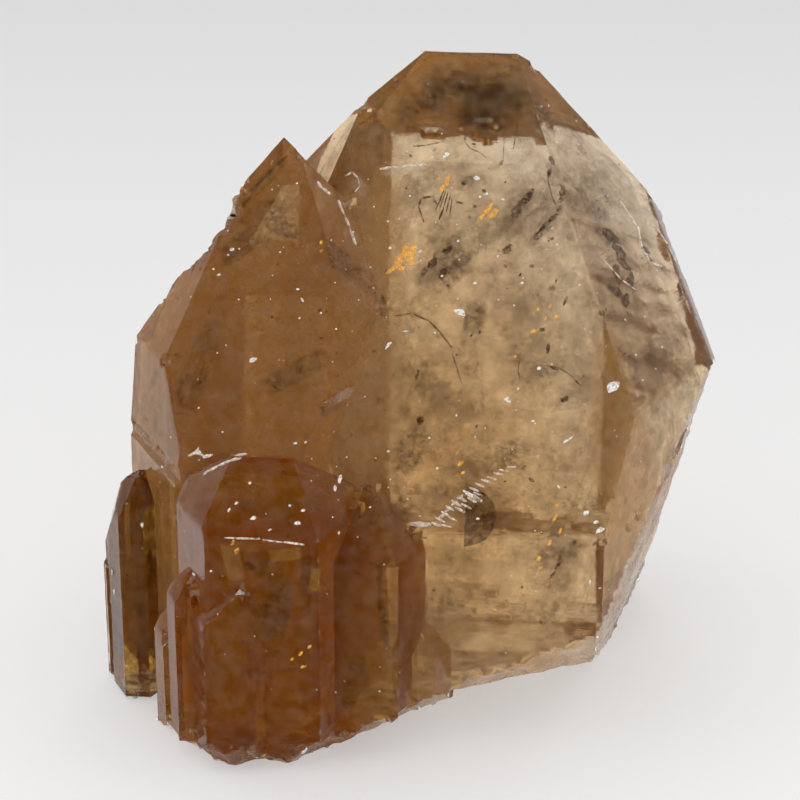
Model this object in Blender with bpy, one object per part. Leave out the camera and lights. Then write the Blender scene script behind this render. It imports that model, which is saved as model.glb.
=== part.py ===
"""A citrine crystal point: quartz crystals grown side by side, broken off their rock, standing on the break.

The crystals are one solid. Each is a six-sided column cleaved from a block, and its tip faces all lean
at the angle that quartz gives them. X is to the right, Y to the back, Z up along the columns, in
millimetres until the end. A face is given by its azimuth (0 looks to the front, 90 to the right), its lean
from upright (under 0 it looks downward) and its reach, which is how far from the column's axis it would
cross the level of the break.
"""

import math
import random

import bmesh
import bpy
from mathutils import Matrix, Vector, noise

MM = 0.001

# Where the middle of the whole stands on the plan that the axes below are drawn on.
PLAN_CENTRE = (1.86, -2.84)

# Tip faces of quartz lean this far from the column's length.
TIP_LEAN = 38.2

# A column is cleaved from a block that starts this far under the break and ends above every tip.
ROOT = 7.0
BLOCK_TOP = 140.0
BLOCK_WIDTH = 180.0

# Clear orange-brown quartz with a glassy surface.
QUARTZ_COLOUR = (0.50, 0.34, 0.17, 1.0)
QUARTZ_ROUGHNESS = 0.05
QUARTZ_IOR = 1.55

# The large point on the right. Distances of the six sides and heights of the six tip faces over the axis
# go round from the front by the right and the back. Steep faces lie between sides and tips, and breaks
# cut across them all.
MAIN_AXIS = (17.0, 0.0)
MAIN_TURN = -5.0
MAIN_SIDES = (41.0, 43.7, 44.6, 46.0, 42.0, 41.0)
MAIN_TIPS = (100.2, 119.0, 147.4, 153.0, 155.0, 137.4)
MAIN_STEEP = ((55.0, 9.0, 51.2), (86.0, 26.0, 80.6), (86.0, 19.0, 71.2))
MAIN_BREAKS = ((72.8, -15.8, 27.3), (13.3, -34.0, 29.9), (25.0, -62.0, 12.4))

# The second large point, on the left and a little in front.
SIDE_AXIS = (-27.0, -9.5)
SIDE_TURN = -5.0
SIDE_SIDES = (25.3, 21.7, 25.0, 30.0, 23.2, 25.8)
SIDE_TIPS = (94.4, 109.3, 126.2, 133.4, 122.5, 106.2)
SIDE_STEEP = ((55.0, 8.5, 32.2), (-65.0, 6.9, 32.6), (-125.0, 23.9, 56.4))

# The small columns round their feet: axis, sides, tips, and the other planes that cut them.
SMALL_TURN = -5.0
SMALL_COLUMNS = {
    "broad_rib": ((-26.0, -32.0), (19.0, 19.9, 19.0, 16.0, 12.3, 18.5),
                  (76.3, 77.4, 82.9, 53.7, 75.0, 77.1), ((40.0, -60.0, 15.8),)),
    "front_rib": ((-33.0, -45.0), (8.0, 8.6, 7.6, 10.0, 8.0, 8.2),
                  (52.5, 47.6, 50.0, 33.0, 50.0, 44.0), ((-5.0, -55.0, 4.6),)),
    "left_rib": ((-41.5, -42.0), (4.5, 4.0, 4.0, 4.0, 4.0, 4.5),
                 (42.6, 42.0, 43.0, 43.0, 42.0, 41.5), ()),
    "left_foot": ((-45.5, -32.5), (4.5, 4.2, 4.2, 4.2, 3.8, 4.0),
                  (28.0, 29.0, 30.0, 30.0, 29.0, 27.5), ()),
    "pointed_rib": ((-6.0, -38.0), (10.5, 11.0, 8.8, 12.0, 11.0, 11.0),
                    (58.4, 58.8, 57.2, 59.0, 60.0, 59.0), ((40.0, -60.0, -4.0),)),
    "bud": ((4.5, -39.0), (6.2, 5.7, 6.0, 6.0, 6.0, 5.6),
            (30.8, 29.0, 30.4, 32.7, 32.7, 30.1), ((40.0, -60.0, -12.4),)),
    "left_upper": ((-53.5, -16.5), (7.5, 5.7, 6.0, 7.0, 6.5, 6.5),
                   (52.8, 52.4, 52.0, 50.2, 51.0, 51.2), ((-90.0, 15.4, 16.7),)),
    "left_lower": ((-56.8, -13.5), (5.0, 5.0, 5.0, 5.0, 4.4, 4.4),
                   (33.0, 34.0, 34.0, 33.0, 33.0, 32.5), ()),
    "back_point": ((-24.0, 22.0), (16.0, 16.0, 16.0, 16.0, 16.0, 16.0),
                   (88.0, 92.0, 84.0, 80.0, 86.0, 90.0), ()),
}

# Shell-shaped chips. Each list runs along an edge where the crystals took knocks: points on the edge, the
# direction that the chips came off in, how many, their radius and their depth.
CHIPPED_EDGES = {
    "front rim": (((-50, -31, 0), (-42, -46, 0), (-38, -52, 2), (-19, -52, 2), (-10, -49, 5), (2, -46, 9),
                   (14, -41, 12), (28, -39, 15), (40, -38, 17)), (0.0, -0.7, -0.7), 17, (5.0, 10.0), (0.8, 1.7)),
    "right break": (((42, -36, 22), (50, -25, 42), (60, -2, 56)), (0.8, -0.5, -0.3), 6, (7.0, 13.0), (0.6, 1.1)),
    "upper right": (((47, 4, 106), (53, 3, 96), (58, 2, 84)), (0.8, -0.4, 0.4), 4, (7.0, 14.0), (0.6, 1.2)),
    "left flank": (((-33, -1, 98), (-43, -1, 86), (-52, -3, 77)), (-0.8, 0.1, 0.5), 6, (4.0, 7.0), (0.5, 0.9)),
    "back rim": (((50, 20, 2), (44, 44, 0), (0, 47, 0), (-20, 38, 0), (-40, 20, 0), (-55, -6, 0)),
                 (0.0, 0.6, -0.8), 12, (9.0, 20.0), (0.7, 1.6)),
    "back shoulder": (((2, 48, 95), (40, 44, 95)), (0.0, 0.7, 0.7), 3, (9.0, 16.0), (0.5, 1.0)),
    "back corner": (((46, 44, 82), (46, 44, 10)), (0.6, 0.8, 0.0), 3, (8.0, 14.0), (0.5, 1.0)),
    "right corner": (((55, 23, 89), (65, 4, 69)), (0.9, 0.3, 0.3), 3, (7.0, 12.0), (0.5, 1.0)),
    "underside": (((-38, -28, 0), (-16, 14, 0), (24, 24, 0)), (0.0, 0.0, -1.0), 3, (60.0, 80.0), (0.8, 1.2)),
}
CHIP_SEED = 7
CHIP_GRAIN = 0.03
CHIP_GRAIN_SIZE = 3.0
CHIP_FLATTENING = (0.75, 1.3)
CHIP_ROUNDNESS = 3


def outward(azimuth, lean=0.0):
    """The outward normal of a face."""
    turn, lift = math.radians(azimuth), math.radians(lean)
    return Vector((math.sin(turn) * math.cos(lift), -math.cos(turn) * math.cos(lift), math.sin(lift)))


def column_faces(turn, sides, tips):
    """Six sides, and six tip faces that meet the axis at their heights."""
    upright = [(turn + 60.0 * n, 0.0, distance) for n, distance in enumerate(sides)]
    drop = math.tan(math.radians(TIP_LEAN))
    return upright + [(turn + 60.0 * n, TIP_LEAN, height * drop) for n, height in enumerate(tips)]


def add_object(name, bm, collection):
    bmesh.ops.scale(bm, verts=bm.verts, vec=(MM, MM, MM))
    mesh = bpy.data.meshes.new(name)
    bm.to_mesh(mesh)
    bm.free()
    obj = bpy.data.objects.new(name, mesh)
    collection.objects.link(obj)
    return obj


def cleave(bm, point, normal):
    """Breaks off all that lies beyond a plane, and closes the break with one flat face."""
    whole = bm.verts[:] + bm.edges[:] + bm.faces[:]
    cut = bmesh.ops.bisect_plane(bm, geom=whole, dist=1e-4, plane_co=point, plane_no=normal, clear_outer=True)
    rim = [e for e in cut["geom_cut"] if isinstance(e, bmesh.types.BMEdge)]
    if rim:
        bmesh.ops.contextual_create(bm, geom=rim)


def crystal(name, axis, faces, collection, depth=ROOT):
    """One column, cleaved from a block along each of its faces."""
    foot = Vector((axis[0] - PLAN_CENTRE[0], axis[1] - PLAN_CENTRE[1], 0.0))
    bm = bmesh.new()
    bmesh.ops.create_cube(bm, size=1.0)
    bmesh.ops.scale(bm, verts=bm.verts, vec=(BLOCK_WIDTH, BLOCK_WIDTH, BLOCK_TOP + depth))
    bmesh.ops.translate(bm, verts=bm.verts, vec=foot + Vector((0.0, 0.0, (BLOCK_TOP - depth) / 2)))
    for azimuth, lean, reach in faces:
        cleave(bm, foot + outward(azimuth) * reach, outward(azimuth, lean))
    return add_object(name, bm, collection)


def point_along(points, share):
    """The point at a share of the way along straight stretches, each counted as one."""
    place = share * (len(points) - 1)
    start = min(int(place), len(points) - 2)
    return Vector(points[start]).lerp(Vector(points[start + 1]), place - start)


def chip(name, point, direction, radius, depth, shape, collection):
    """The bumpy, uneven ball that takes a shell-shaped chip out of an edge."""
    reach = Matrix.Diagonal(shape) @ direction
    centre = point - Vector((*PLAN_CENTRE, 0.0)) + direction * (radius * reach.length - depth)
    bm = bmesh.new()
    bmesh.ops.create_icosphere(bm, subdivisions=CHIP_ROUNDNESS, radius=radius)
    for vert in bm.verts:
        vert.co *= 1.0 + CHIP_GRAIN * noise.noise(vert.co / CHIP_GRAIN_SIZE + centre)
        vert.co = centre + Matrix.Diagonal(shape) @ vert.co
    return add_object(name, bm, collection)


def chip_edges(collection):
    for edge, (points, direction, count, radii, depths) in CHIPPED_EDGES.items():
        chance = random.Random(CHIP_SEED + count)
        for number in range(count):
            share = (number + chance.uniform(0.2, 0.8)) / count
            spread = Vector([chance.uniform(-0.3, 0.3) for _ in range(3)])
            way = (Vector(direction).normalized() + spread).normalized()
            shape = Vector([chance.uniform(*CHIP_FLATTENING) for _ in range(3)])
            size, depth = chance.uniform(*radii), chance.uniform(*depths)
            chip(f"{edge} {number}", point_along(points, share), way, size, depth, shape, collection)


def quartz():
    material = bpy.data.materials.new("citrine")
    material.use_nodes = True
    shader = material.node_tree.nodes["Principled BSDF"]
    shader.inputs["Base Color"].default_value = QUARTZ_COLOUR
    shader.inputs["Metallic"].default_value = 0.0
    shader.inputs["Roughness"].default_value = QUARTZ_ROUGHNESS
    shader.inputs["IOR"].default_value = QUARTZ_IOR
    shader.inputs["Transmission Weight"].default_value = 1.0
    return material


def hide_tools(collection):
    for obj in collection.objects:
        obj.hide_render = True
        obj.display_type = "WIRE"


def combine(body, name, operation, collection):
    boolean = body.modifiers.new(name, "BOOLEAN")
    boolean.operation = operation
    boolean.solver = "EXACT"
    boolean.operand_type = "COLLECTION"
    boolean.collection = collection


def main():
    for obj in list(bpy.data.objects):
        bpy.data.objects.remove(obj)
    scene = bpy.context.scene.collection
    growth = bpy.data.collections.new("growth")
    breaks = bpy.data.collections.new("breaks")
    scene.children.link(growth)
    scene.children.link(breaks)

    main_faces = column_faces(MAIN_TURN, MAIN_SIDES, MAIN_TIPS) + list(MAIN_STEEP + MAIN_BREAKS)
    side_faces = column_faces(SIDE_TURN, SIDE_SIDES, SIDE_TIPS) + list(SIDE_STEEP)
    body = crystal("citrine_point", MAIN_AXIS, main_faces, scene)
    crystal("side_point", SIDE_AXIS, side_faces, growth, ROOT - 0.4)
    for number, (name, (axis, sides, tips, others)) in enumerate(SMALL_COLUMNS.items()):
        faces = column_faces(SMALL_TURN, sides, tips) + list(others)
        crystal(name, axis, faces, growth, ROOT - 0.4 * (number + 2))
    combine(body, "grown together", "UNION", growth)

    ground = bmesh.new()
    bmesh.ops.create_cube(ground, size=1.0)
    bmesh.ops.scale(ground, verts=ground.verts, vec=(BLOCK_WIDTH, BLOCK_WIDTH, 2 * ROOT))
    bmesh.ops.translate(ground, verts=ground.verts, vec=(0.0, 0.0, -ROOT))
    add_object("rock", ground, breaks)
    chip_edges(breaks)
    combine(body, "broken off", "DIFFERENCE", breaks)
    body.data.materials.append(quartz())
    hide_tools(growth)
    hide_tools(breaks)


main()
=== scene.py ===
"""A citrine crystal point, dressed: quartz columns grown side by side and broken off their rock."""

import math
import random

import bpy
from mathutils import Matrix, Vector


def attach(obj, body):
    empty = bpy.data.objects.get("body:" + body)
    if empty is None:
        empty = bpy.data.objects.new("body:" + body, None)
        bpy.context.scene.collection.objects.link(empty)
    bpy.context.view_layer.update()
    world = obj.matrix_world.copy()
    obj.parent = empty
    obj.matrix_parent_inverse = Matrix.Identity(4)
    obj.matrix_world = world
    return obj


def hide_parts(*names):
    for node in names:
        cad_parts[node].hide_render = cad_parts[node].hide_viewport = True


MM = 0.001
QUARTZ_IOR = 1.55
MARKS_SEED = 11

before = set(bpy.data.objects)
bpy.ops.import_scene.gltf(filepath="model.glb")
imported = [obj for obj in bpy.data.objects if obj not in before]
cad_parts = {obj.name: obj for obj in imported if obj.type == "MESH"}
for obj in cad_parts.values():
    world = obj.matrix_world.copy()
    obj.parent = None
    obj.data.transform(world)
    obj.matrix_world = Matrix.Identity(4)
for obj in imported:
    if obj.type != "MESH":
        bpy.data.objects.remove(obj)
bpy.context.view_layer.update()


# Small helpers


def linear(sheet_colour):
    """An sRGB hex colour as the linear RGBA that shaders work in."""
    channels = [int(sheet_colour[i : i + 2], 16) / 255 for i in (1, 3, 5)]
    return [c / 12.92 if c <= 0.04045 else ((c + 0.055) / 1.055) ** 2.4 for c in channels] + [1.0]


def node(tree, kind, place, links=None, **settings):
    """Adds a node: links fill its sockets from other nodes' outputs or with values, settings are its properties."""
    made = tree.nodes.new(kind)
    made.location = place
    for name, value in settings.items():
        setattr(made, name, value)
    for socket, value in (links or {}).items():
        if isinstance(value, bpy.types.NodeSocket):
            tree.links.new(value, made.inputs[socket])
        else:
            made.inputs[socket].default_value = value
    return made


def new_material(name):
    """An empty material and its node tree."""
    material = bpy.data.materials.new(name)
    material.use_nodes = True
    material.node_tree.nodes.clear()
    return material, material.node_tree


def banded(tint, places, colours):
    """Sets the two ends of a colour ramp."""
    for end, place, colour in zip(tint.color_ramp.elements, places, colours):
        end.position, end.color = place, linear(colour)


def deselect():
    """Leaves nothing selected, in object mode."""
    if bpy.context.mode != "OBJECT":
        bpy.ops.object.mode_set(mode="OBJECT")
    bpy.ops.object.select_all(action="DESELECT")


def make_active(piece):
    """Selects one piece only."""
    deselect()
    piece.select_set(True)
    bpy.context.view_layer.objects.active = piece


def apply_modifiers(piece):
    """Brings all modifiers of a piece into its mesh, in their order."""
    make_active(piece)
    for modifier in list(piece.modifiers):
        bpy.ops.object.modifier_apply(modifier=modifier.name)


def finished(piece, name, material=None):
    """Names a finished piece, brings its place into its mesh and lets it ride on the crystal's body."""
    make_active(piece)
    bpy.ops.object.transform_apply(location=True, rotation=True, scale=True)
    piece.name = name
    if material:
        piece.data.materials.clear()
        piece.data.materials.append(material)
    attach(piece, "root")
    return piece


def joined(pieces, name, material):
    """Makes several pieces one finished piece."""
    deselect()
    for piece in pieces:
        piece.select_set(True)
    bpy.context.view_layer.objects.active = pieces[0]
    bpy.ops.object.join()
    return finished(pieces[0], name, material)


# Materials

# Straw-coloured quartz: over a metre it soaks up 0.9 of red, 4 of green and 10 of blue, counted in nepers.
BODY_COLOUR = "#f6d476"
BODY_DENSITY = 12.0


def quartz(name, dullest, smoothest, hillock, relief_height, line_strength, frosting, frost_patch):
    """Citrine, which is clear iron-coloured quartz: natural faces are glossy, broken ones scaly and frosted.

    The hillocks, their height and the patches of frost are in millimetres.
    """
    material, tree = new_material(name)
    place = node(tree, "ShaderNodeTexCoord", (-1500, 0)).outputs["Object"]
    # Growth lines across the column, about 0.8 mm apart, break up what a natural face mirrors.
    flattened = node(tree, "ShaderNodeMapping", (-1300, 300), {
        "Vector": place, "Scale": (0.06, 0.06, 1.0)})
    lines = node(tree, "ShaderNodeTexNoise", (-1100, 300), {
        "Vector": flattened.outputs[0], "Scale": 1 / (1.6 * MM), "Detail": 3.0, "Roughness": 0.6})
    hillocks = node(tree, "ShaderNodeTexNoise", (-1100, 0), {
        "Vector": place, "Scale": 1 / (hillock * MM), "Detail": 6.0, "Roughness": 0.62})
    relief = node(tree, "ShaderNodeBump", (-700, 0), {
        "Height": hillocks.outputs["Fac"], "Strength": 1.0, "Distance": relief_height * MM})
    lined = node(tree, "ShaderNodeBump", (-500, 100), {
        "Height": lines.outputs["Fac"], "Normal": relief.outputs[0], "Strength": line_strength,
        "Distance": 0.08 * MM})
    # Handling has dulled the gloss in patches of a few millimetres.
    wear = node(tree, "ShaderNodeTexNoise", (-1100, -300), {
        "Vector": place, "Scale": 1 / (7.0 * MM), "Detail": 6.0, "Roughness": 0.7})
    dulled = node(tree, "ShaderNodeMapRange", (-700, -300), {
        "Value": wear.outputs["Fac"], "From Min": 0.38, "From Max": 0.7, "To Min": smoothest, "To Max": dullest})
    # Frost and fine dust stay in the hollows and let less light through.
    frost = node(tree, "ShaderNodeTexNoise", (-1100, -600), {
        "Vector": place, "Scale": 1 / (frost_patch * MM), "Detail": 8.0, "Roughness": 0.6})
    cleared = node(tree, "ShaderNodeMapRange", (-700, -600), {
        "Value": frost.outputs["Fac"], "From Min": 0.38, "From Max": 0.72, "To Min": 1.0, "To Max": 1.0 - frosting})
    # The brown specular tint dims and browns what the faces mirror: painted shade in their reflections.
    shader = node(tree, "ShaderNodeBsdfPrincipled", (0, 0), {
        "Base Color": linear("#fff6ea"), "Roughness": dulled.outputs[0], "IOR": QUARTZ_IOR,
        "Specular Tint": linear("#75502e"), "Transmission Weight": cleared.outputs[0], "Normal": lined.outputs[0]})
    body = node(tree, "ShaderNodeVolumeAbsorption", (0, -400), {
        "Color": linear(BODY_COLOUR), "Density": BODY_DENSITY})
    node(tree, "ShaderNodeOutputMaterial", (300, 0), {"Surface": shader.outputs[0], "Volume": body.outputs[0]})
    return material


def colour_zone(name, colour, density):
    """A stronger colour in part of the same quartz. It bends no light at its border, and only soaks more up."""
    material, tree = new_material(name)
    shader = node(tree, "ShaderNodeBsdfPrincipled", (0, 0), {
        "Base Color": linear("#ffffff"), "Roughness": 0.0, "IOR": 1.0, "Transmission Weight": 1.0})
    body = node(tree, "ShaderNodeVolumeAbsorption", (0, -400), {"Color": linear(colour), "Density": density})
    node(tree, "ShaderNodeOutputMaterial", (300, 0), {"Surface": shader.outputs[0], "Volume": body.outputs[0]})
    return material


def cloudy_veil(name, dark, light, thickest, patch, grain, thin=0.0, edged=False, painted_glow=0.0):
    """A growth veil inside the quartz: fine inclusions in clouds, seen as a matt haze with holes.

    The patches and their grain have these sizes in millimetres. An edged veil fades out towards its border.
    Its emission is a painted glow, which stands in for light that the whole crystal scatters into it.
    """
    material, tree = new_material(name)
    coordinates = node(tree, "ShaderNodeTexCoord", (-1700, 0))
    place = coordinates.outputs["Object"]
    patches = node(tree, "ShaderNodeTexNoise", (-1400, 300), {
        "Vector": place, "Scale": 1 / (patch * MM), "Detail": 2.0, "Roughness": 0.6})
    clouds = node(tree, "ShaderNodeTexNoise", (-1400, 0), {
        "Vector": place, "Scale": 1 / (grain * MM), "Detail": 6.0, "Roughness": 0.8})
    region = node(tree, "ShaderNodeMapRange", (-1100, 300), {
        "Value": patches.outputs["Fac"], "From Min": 0.4, "From Max": 0.66, "To Min": thin, "To Max": 1.0})
    detail = node(tree, "ShaderNodeMapRange", (-1100, 0), {
        "Value": clouds.outputs["Fac"], "From Min": 0.36, "From Max": 0.68, "To Min": 0.05, "To Max": thickest})
    cover = node(tree, "ShaderNodeMath", (-800, 200), {
        0: region.outputs[0], 1: detail.outputs[0]}, operation="MULTIPLY")
    if edged:
        halves = node(tree, "ShaderNodeSeparateXYZ", (-1400, -300), {"Vector": coordinates.outputs["UV"]})
        inward = []
        for axis in ("X", "Y"):
            other = node(tree, "ShaderNodeMath", (-1200, -300), {
                0: 1.0, 1: halves.outputs[axis]}, operation="SUBTRACT")
            inward.append(node(tree, "ShaderNodeMath", (-1000, -300), {
                0: halves.outputs[axis], 1: other.outputs[0]}, operation="MULTIPLY"))
        middle = node(tree, "ShaderNodeMath", (-800, -300), {
            0: inward[0].outputs[0], 1: inward[1].outputs[0]}, operation="MULTIPLY")
        kept = node(tree, "ShaderNodeMapRange", (-600, -300), {
            "Value": middle.outputs[0], "From Min": 0.002, "From Max": 0.03, "To Min": 0.0, "To Max": 1.0})
        cover = node(tree, "ShaderNodeMath", (-400, 100), {
            0: cover.outputs[0], 1: kept.outputs[0]}, operation="MULTIPLY")
    tint = node(tree, "ShaderNodeValToRGB", (-700, -100), {"Fac": clouds.outputs["Fac"]})
    banded(tint, (0.38, 0.64), (light, dark))
    # The emission is painted light: a faint glow in the veil's light colour.
    shader = node(tree, "ShaderNodeBsdfPrincipled", (0, 0), {
        "Base Color": tint.outputs["Color"], "Roughness": 0.9, "Specular IOR Level": 0.0, "Alpha": cover.outputs[0],
        "Emission Color": linear(light), "Emission Strength": painted_glow})
    node(tree, "ShaderNodeOutputMaterial", (300, 0), {"Surface": shader.outputs[0]})
    material.cycles.emission_sampling = "NONE"
    return material


def bruised_quartz():
    """Quartz crushed by a knock: white and opaque like ground glass, with grey hollows half a millimetre wide, and a
    faint painted glow.
    """
    material, tree = new_material("bruised_quartz")
    place = node(tree, "ShaderNodeTexCoord", (-900, 0)).outputs["Object"]
    crumbs = node(tree, "ShaderNodeTexNoise", (-700, 0), {
        "Vector": place, "Scale": 1 / (0.5 * MM), "Detail": 4.0})
    tint = node(tree, "ShaderNodeValToRGB", (-400, 0), {"Fac": crumbs.outputs["Fac"]})
    banded(tint, (0.35, 0.6), ("#cbbcae", "#ffffff"))
    holes = node(tree, "ShaderNodeMapRange", (-400, -300), {
        "Value": crumbs.outputs["Fac"], "From Min": 0.38, "From Max": 0.5, "To Min": 0.3, "To Max": 1.0})
    shader = node(tree, "ShaderNodeBsdfPrincipled", (0, 0), {
        "Base Color": tint.outputs["Color"], "Roughness": 0.45, "Alpha": holes.outputs[0],
        "Emission Color": linear("#fff8f0"), "Emission Strength": 0.16})
    node(tree, "ShaderNodeOutputMaterial", (300, 0), {"Surface": shader.outputs[0]})
    material.cycles.emission_sampling = "NONE"
    return material


def stained_film(name, light, dark, cover, roughness, least=None, painted_glint=0.0):
    """A thin film or flake: brown where iron has stained it, golden or white where it is only air, colours that stand
    for the light such films mirror.

    One with a least cover is worn through in spots of about a third of a millimetre. Its emission is a painted glint.
    """
    material, tree = new_material(name)
    place = node(tree, "ShaderNodeTexCoord", (-900, 0)).outputs["Object"]
    grain = node(tree, "ShaderNodeTexNoise", (-700, 0), {
        "Vector": place, "Scale": 1 / (1.2 * MM), "Detail": 3.0})
    tint = node(tree, "ShaderNodeValToRGB", (-400, 0), {"Fac": grain.outputs["Fac"]})
    banded(tint, (0.38, 0.62), (light, dark))
    # Emission here is a painted glint: light the film gives off though it is no lamp.
    shader = node(tree, "ShaderNodeBsdfPrincipled", (0, 0), {
        "Base Color": tint.outputs["Color"], "Roughness": roughness, "Alpha": cover,
        "Emission Color": linear(light), "Emission Strength": painted_glint})
    if least is not None:
        spots = node(tree, "ShaderNodeTexNoise", (-700, -300), {
            "Vector": place, "Scale": 1 / (0.8 * MM), "Detail": 3.0, "Roughness": 0.7})
        holes = node(tree, "ShaderNodeMapRange", (-400, -300), {
            "Value": spots.outputs["Fac"], "From Min": 0.4, "From Max": 0.58, "To Min": least, "To Max": cover})
        tree.links.new(holes.outputs[0], shader.inputs["Alpha"])
    node(tree, "ShaderNodeOutputMaterial", (300, 0), {"Surface": shader.outputs[0]})
    material.cycles.emission_sampling = "NONE"
    return material


# The plan of the crystals

# The middle of the crystal's box on the plan that the numbers below are measured on, in millimetres.
PLAN_CENTRE = (1.86, -2.84)
# Quartz's rhombohedral tip faces lean this much out of level, in degrees.
TIP_LEAN = 38.2

# Column: axis, turn, distances of its sides, heights of its tip faces over the axis, in millimetres. Sides
# and tip faces go round from the front by the right and the back.
COLUMNS = {
    "main_point": ((17, 0), -5, (41, 43.7, 44.6, 46, 42, 41),
                   (100.2, 119, 147.4, 153, 155, 137.4)),
    "side_point": ((-27, -9.5), -5, (25.3, 21.7, 25, 30, 23.2, 25.8),
                   (94.4, 109.3, 126.2, 133.4, 122.5, 106.2)),
    "broad_rib": ((-26, -32), -5, (19, 19.9, 19, 16, 12.3, 18.5), (76.3, 77.4, 82.9, 53.7, 75, 77.1)),
    "pointed_rib": ((-6, -38), -5, (10.5, 11, 8.8, 12, 11, 11), (58.4, 58.8, 57.2, 59, 60, 59)),
    "left_upper": ((-53.5, -16.5), -5, (7.5, 5.7, 6, 7, 6.5, 6.5), (52.8, 52.4, 52, 50.2, 51, 51.2)),
    "left_lower": ((-56.8, -13.5), -5, (5, 5, 5, 5, 4.4, 4.4), (33, 34, 34, 33, 33, 32.5)),
    "front_rib": ((-33, -45), -5, (8, 8.6, 7.6, 10, 8, 8.2), (52.5, 47.6, 50, 33, 50, 44)),
    "left_rib": ((-41.5, -42), -5, (4.5, 4, 4, 4, 4, 4.5), (42.6, 42, 43, 43, 42, 41.5)),
    "left_foot": ((-45.5, -32.5), -5, (4.5, 4.2, 4.2, 4.2, 3.8, 4), (28, 29, 30, 30, 29, 27.5)),
    # Not a column of its own: the main point is paler towards its right, and this is its deeper coloured rest.
    "heart": ((17, 0), -5, (41, 20, 17, 46, 42, 41), (100.2, 102, 120, 153, 155, 137.4)),
    "bud": ((4.5, -39), -5, (6.2, 5.7, 6, 6, 6, 5.6), (30.8, 29, 30.4, 32.7, 32.7, 30.1)),
}
# Column: azimuth, lean and reach of its steep faces and breaks.
STEEP_FACES = {
    "main_point": ((55, 9, 51.2), (86, 26, 80.6), (86, 19, 71.2), (72.8, -15.8, 27.3), (13.3, -34, 29.9),
                   (25, -62, 12.4)),
    "side_point": ((55, 8.5, 32.2), (-65, 6.9, 32.6), (-125, 23.9, 56.4)),
    "left_upper": ((-90, 15.4, 16.7),),
}
# The same, for what keeps ghosts clear of chips and of the break under a column.
CHIPPED_SIDES = {
    "main_point": ((13.3, -34, 28.6),),
    "heart": ((13.3, -34, 28.6),),
    "bud": ((40, -60, -18),),
    "side_point": ((175, 0, 28), (-90, 37.1, 80.6)),
    "pointed_rib": ((40, -60, -6),),
    "broad_rib": ((40, -60, 11.6), (-5, -60, 15.4), (-60, -60, 14.5)),
    "front_rib": ((-5, -55, 1.6), (-50, -55, 1.6)),
    "left_rib": ((-40, -55, -3),),
    "left_foot": ((-20, -55, 1),),
    "left_upper": ((-60, -40, -5), (-90, 15.4, 16)),
}
# Heights over the break, in millimetres, at which the ghosts of a column start.
GHOST_FOOT = {
    "main_point": 5, "heart": 10.5, "side_point": 5, "broad_rib": 0.6, "pointed_rib": 0.4,
    "front_rib": 2.4, "left_rib": 4,
}


def outward(azimuth, lean=0.0):
    """The outward normal of a face: azimuth 0 looks to the front, 90 to the right."""
    turn, lift = math.radians(azimuth), math.radians(lean)
    return Vector((math.sin(turn) * math.cos(lift), -math.cos(turn) * math.cos(lift), math.sin(lift)))


def on_plan(x, y, z):
    """A place given in millimetres on the plan, in metres about the middle of the crystal."""
    return Vector((x - PLAN_CENTRE[0], y - PLAN_CENTRE[1], z)) * MM


def column_faces(column):
    """Azimuth, lean and reach of each face, the reach measured from the axis at the level of the break."""
    _, turn, sides, tips = COLUMNS[column]
    rise = math.tan(math.radians(TIP_LEAN))
    faces = [(turn + 60.0 * n, 0.0, distance) for n, distance in enumerate(sides)]
    faces += [(turn + 60.0 * n, TIP_LEAN, height * rise) for n, height in enumerate(tips)]
    return faces + list(STEEP_FACES.get(column, ()))


def cleave(place, normal):
    """Cuts away what lies beyond a plane of the piece in edit mode, and closes the cut."""
    bpy.ops.mesh.select_all(action="SELECT")
    bpy.ops.mesh.bisect(plane_co=place, plane_no=normal, use_fill=True, clear_outer=True, threshold=1e-6)


def ghost(column, depth, material, kind="ghost"):
    """The faces that a column had when it was smaller all round by a depth in millimetres."""
    axis = COLUMNS[column][0]
    foot = GHOST_FOOT.get(column, 1.0) + 0.6 * depth
    deselect()
    bpy.ops.mesh.primitive_cube_add(size=0.3, location=on_plan(*axis, 0.15 / MM + foot))
    made = bpy.context.object
    bpy.ops.object.transform_apply(location=True, rotation=True, scale=True)
    bpy.ops.object.mode_set(mode="EDIT")
    for azimuth, lean, reach in column_faces(column) + list(CHIPPED_SIDES.get(column, ())):
        inset = depth / math.cos(math.radians(lean))
        cleave(on_plan(*axis, 0.0) + outward(azimuth) * (reach - inset) * MM, outward(azimuth, lean))
    bpy.ops.object.mode_set(mode="OBJECT")
    return finished(made, f"{column}_{kind}_{round(depth)}", material)


# The crystal's body

# In degrees: how far off a face of the plan a grown face may be, up to which lean a face counts as a side, and
# up to which bend the surface looks smooth.
FLAT_WITHIN = 1.2
SIDES_LEAN_UNDER = 30.0
SMOOTH_UNDER = 22.0


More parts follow.
